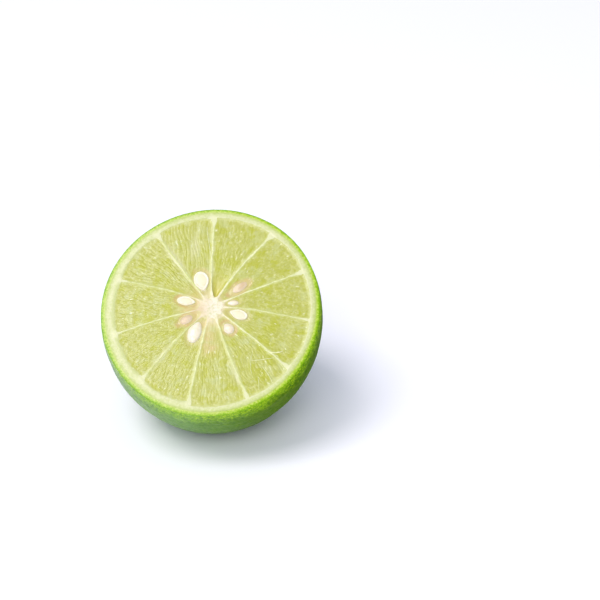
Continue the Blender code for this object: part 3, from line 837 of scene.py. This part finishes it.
def model_segment(segment):
    """One segment: a flat sheet fitted between two membranes, given its sacs, and closed underneath."""
    flesh, across, along = flat_sheet(PULP_COLUMNS, PULP_ROWS)
    core_here = uneven_core_edge(segment, across)
    pulp_edge = uneven_pulp_edge(segment, across) + PULP_UNDERLAP / rim_radius
    share = core_here + (pulp_edge - core_here) * along
    start, end, bearing = pocket_bearings(segment, share, across, PULP_UNDERLAP)
    reach = share * rim_radius
    place = rounded_place(share, across)
    x, y = spot_on_cut(bearing, place)

    from_core = np.stack([x, y, np.zeros(len(x))], axis=1)
    drift = swell(from_core, 0.0060, 20 + segment) - 0.5
    jitter = swell(from_core, 0.0014, 40 + segment) - 0.5
    first_wall = math.radians(MEMBRANES[segment][0])
    middle = first_wall if segment == STRAIGHT_SEGMENT else 0.5 * (start[-1] + end[-1])
    level = y * np.cos(middle) - x * np.sin(middle)
    fanned = (bearing - first_wall) * SAC_FAN
    aside = fanned + SAC_PARALLEL[segment] * (level - fanned) + SAC_DRIFT * drift + SAC_JITTER * jitter
    sac_length = SAC_LENGTHS[segment] * MILLIMETRE
    sacs_out = place * rim_radius / sac_length
    wall, plump, tone = sac_pattern(aside / SAC_WIDTH + 40.0, sacs_out + 40.0, 100 + segment)

    to_side = np.minimum(across, 1.0 - across) * (end - start) * reach
    to_pith = PITH_SOFTNESS * (1.0 - along) * (PULP_SHARE - CORE_SHARES[segment]) * rim_radius
    to_core = along * (PULP_SHARE - CORE_SHARES[segment]) * rim_radius
    nearest = np.minimum(to_side, to_pith)
    edge = np.exp(-(nearest / PULP_LIP_REACH) ** 2)
    heart = np.exp(-(to_core / (HEART_REACHES[segment] * MILLIMETRE)) ** 2)
    outer = smooth_step((place - 0.15) / 0.5)
    height = -PULP_LIP - PULP_SINK * (1.0 - edge) * (1.0 - heart)
    relief = SAC_RELIEF * (plump - 0.5) * (0.35 + 0.65 * outer) + TONE_RELIEF * (tone - 0.5)
    height = height + (1.0 - edge) * relief
    tissue = spot_strength(x, y, TISSUE_SPOTS)
    stain = np.zeros(len(x))
    for seed in SEEDS:
        tip = math.radians(seed["tip"])
        middle_x, middle_y = seed_middle(seed)
        ahead = (x - middle_x) * math.cos(tip) + (y - middle_y) * math.sin(tip)
        beside = -(x - middle_x) * math.sin(tip) + (y - middle_y) * math.cos(tip)
        from_seed = np.hypot(ahead / (0.5 * seed["long"]), beside / (0.5 * seed["wide"])) / MILLIMETRE
        height = height - SEED_MOAT * np.exp(-((from_seed - 1.1) / 0.25) ** 2)
        tissue = np.maximum(tissue, (0.20 + 0.7 * seed["tan"]) * np.exp(-((from_seed - 0.9) / 0.45) ** 2))
        heart = np.maximum(heart, 0.25 * np.exp(-((from_seed - 1.0) / 0.30) ** 2))
        stain = np.maximum(stain, seed["stain"] * np.exp(-((from_seed - 1.28) / 0.20) ** 2))
    haze = np.zeros(len(x))
    for haze_segment, side, away, width, haze_share, length, strength in WALL_HAZES:
        if haze_segment == segment:
            from_wall = (across if side == 0 else 1.0 - across) * (end - start) * reach / MILLIMETRE
            from_patch = ((from_wall - away) / width) ** 2 + ((share - haze_share) / length) ** 2
            haze = np.maximum(haze, strength * np.exp(-from_patch))
    hollow = np.zeros(len(x))
    if segment == HOLLOW_SEGMENT:
        hollow = np.exp(-((share - HOLLOW_SHARE) / HOLLOW_SPREAD) ** 2) * np.sin(math.pi * across) ** 0.6
        height = height - HOLLOW_DEPTH * hollow
        tissue = tissue * (1.0 - hollow)
        heart = np.zeros(len(x))
    write_points(flesh, np.stack([x, y, height], axis=1))
    paint(flesh, "wall", wall * (0.3 + 0.7 * outer) * (0.40 + 0.60 * SAC_CLARITY[segment]))
    paint(flesh, "clear", np.full(len(x), SAC_CLARITY[segment]))
    paint(flesh, "tone", tone)
    paint(flesh, "edge", edge)
    paint(flesh, "haze", haze)
    paint(flesh, "inner", smooth_step(nearest / INNER_REACH))
    patchy_tissue = tissue * (0.65 + 0.7 * swell(from_core, 0.0016, 60 + segment))
    paint(flesh, "tissue", np.clip(patchy_tissue, 0.0, 0.95))
    paint(flesh, "stain", np.clip(1.6 * stain * swell(from_core, 0.0022, 90 + segment), 0.0, 0.8))
    paint(flesh, "heart", 0.9 * heart * (0.5 + 0.5 * swell(from_core, 0.0009, 80 + segment)))
    paint(flesh, "hollow", 0.9 * hollow)
    paint(flesh, "aside", aside / MILLIMETRE + 37.0 * segment)
    paint(flesh, "out", 3.0 * sacs_out)

    bpy.ops.object.mode_set(mode="EDIT")
    select_open_edge()
    bpy.ops.mesh.extrude_edges_move(TRANSFORM_OT_translate={"value": (0.0, 0.0, -PULP_THICKNESS)})
    bpy.ops.mesh.edge_face_add()
    bpy.ops.mesh.select_all(action="SELECT")
    bpy.ops.mesh.normals_make_consistent(inside=False)
    bpy.ops.object.mode_set(mode="OBJECT")
    lay_in_place(flesh, f"pulp_segment_{segment + 1:02d}", 60.0)
    flesh.data.materials.append(pulp_finish.material)
    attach(flesh, "root")
    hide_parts("lime_half")


for segment in range(segment_count):
    model_segment(segment)

# The strands
# Fine white threads of the same tissue as the membranes, which the knife laid bare between the sacs. They are
# soft and half sunk in the pulp.
# Each strand is its name, its width in millimetres, its veil, and its spots on the cut in millimetres.
STRANDS = (
    ("strand_a", 0.26, 0.30, ((-1.13, 21.10), (-0.54, 16.61), (0.03, 12.73), (0.49, 9.37))),
    ("strand_b", 0.40, 0.10, ((11.50, -9.56), (12.99, -10.40), (14.27, -10.55), (15.55, -10.01))),
    ("strand_c", 0.32, 0.55, ((11.06, -13.31), (11.90, -14.47), (12.95, -15.86), (13.26, -17.45))),
    ("strand_d", 0.30, 0.45, ((8.51, -11.88), (10.42, -12.16), (12.13, -11.52), (14.26, -11.47))),
    ("strand_e", 0.26, 0.65, ((9.15, -10.06), (8.29, -11.87), (8.50, -14.15), (9.13, -15.76))),
    ("strand_f", 0.24, 0.60, ((10.20, -15.33), (10.40, -17.38), (10.39, -19.18))))
STRAND_SINK, STRAND_TIP, STRAND_WELD = 0.00010, 0.35, 0.000001


def lay_strand(name, wide, veil, spots):
    """A curve through the strand's spots, given a round section thinned to both ends, and made a mesh."""
    bpy.ops.curve.primitive_nurbs_path_add()
    thread = bpy.context.active_object
    path = thread.data.splines[0]
    for number, point in enumerate(path.points):
        along = number / (len(path.points) - 1) * (len(spots) - 1)
        before = min(int(along), len(spots) - 2)
        spot = Vector(spots[before]).lerp(Vector(spots[before + 1]), along - before) * MILLIMETRE
        point.co = (spot.x, spot.y, -STRAND_SINK, 1.0)
        point.radius = STRAND_TIP + (1.0 - STRAND_TIP) * math.sin(math.pi * number / (len(path.points) - 1))
    path.resolution_u = 8
    thread.data.bevel_depth = 0.5 * wide * MILLIMETRE
    thread.data.bevel_resolution = 3
    thread.data.use_fill_caps = True
    bpy.ops.object.convert(target="MESH")
    thread = bpy.context.active_object
    bpy.ops.object.mode_set(mode="EDIT")
    bpy.ops.mesh.select_all(action="SELECT")
    bpy.ops.mesh.remove_doubles(threshold=STRAND_WELD)
    bpy.ops.object.mode_set(mode="OBJECT")
    for kept_name, value in (("share", 0.5), ("veil", veil), ("junction", 0.0), ("blush", 0.0)):
        paint(thread, kept_name, np.full(len(thread.data.vertices), value))
    lay_in_place(thread, name)
    thread.data.materials.append(pith_finish.material)
    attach(thread, "root")
    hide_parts("lime_half")


for strand in STRANDS:
    lay_strand(*strand)

# The stem scar
# The corky disc where the fruit hung from its stalk, at the bottom of the rind behind the cut. It is dry and
# tan, with a low broken lip round a sunk middle.
SCAR_RADIUS = 0.0024
SCAR_DEPTH = 0.0016
SCAR_RISE = 0.0004
SCAR_SIDES = 48
SCAR_STEPS = ((0.00035, 0.00020), (0.00035, 0.00010), (0.00035, -0.00022), (0.0004, -0.00012),
              (0.0004, -0.00002))
SCAR_SWELL = 0.00022

bpy.ops.mesh.primitive_cylinder_add(vertices=SCAR_SIDES, radius=SCAR_RADIUS, depth=SCAR_DEPTH)
scar = bpy.context.active_object
bpy.ops.object.mode_set(mode="EDIT")
bpy.ops.mesh.select_mode(type="FACE")
bpy.ops.mesh.select_all(action="DESELECT")
bpy.ops.object.mode_set(mode="OBJECT")
for face in scar.data.polygons:
    face.select = face.normal.z < -0.9
bpy.ops.object.mode_set(mode="EDIT")
for thickness, depth in SCAR_STEPS:
    bpy.ops.mesh.inset(thickness=thickness, depth=depth)
bpy.ops.mesh.select_all(action="SELECT")
bpy.ops.mesh.subdivide(number_cuts=1)
bpy.ops.object.mode_set(mode="OBJECT")
scar_points = read_points(scar)
around = np.arctan2(scar_points[:, 1], scar_points[:, 0])
ragged = 1.0 + 0.06 * np.sin(7.0 * around) + 0.05 * np.sin(12.0 * around + 1.0)
scar_points[:, :2] *= ragged[:, None]
low = scar_points[:, 2] < 0.0
scar_points[:, 2] += low * SCAR_SWELL * (swell(scar_points, 0.0012, 4) - 0.5)
stem_end = -(WAIST_DEPTH + STEM_REACH - BASIN_DEPTH)
scar_points[:, 2] += stem_end - scar_points[:, 2].min() - SCAR_RISE
write_points(scar, scar_points)
lay_in_place(scar, "stem_scar", 40.0)

scar_finish = Finish("dry_cork")
cork = scar_finish.grain(0.0007, 4.0, 0.7)
scar_finish.colour(scar_finish.ramp(cork, (0.30, (0.25, 0.15, 0.06)), (0.55, (0.58, 0.42, 0.20)),
                                    (0.75, (0.72, 0.60, 0.34))))
scar_finish.rough(scar_finish.remap(cork, 0.3, 0.7, 0.75, 0.95))
scar_finish.bump(cork, 0.6, 0.00020)
scar.data.materials.append(scar_finish.material)
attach(scar, "root")
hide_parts("lime_half")
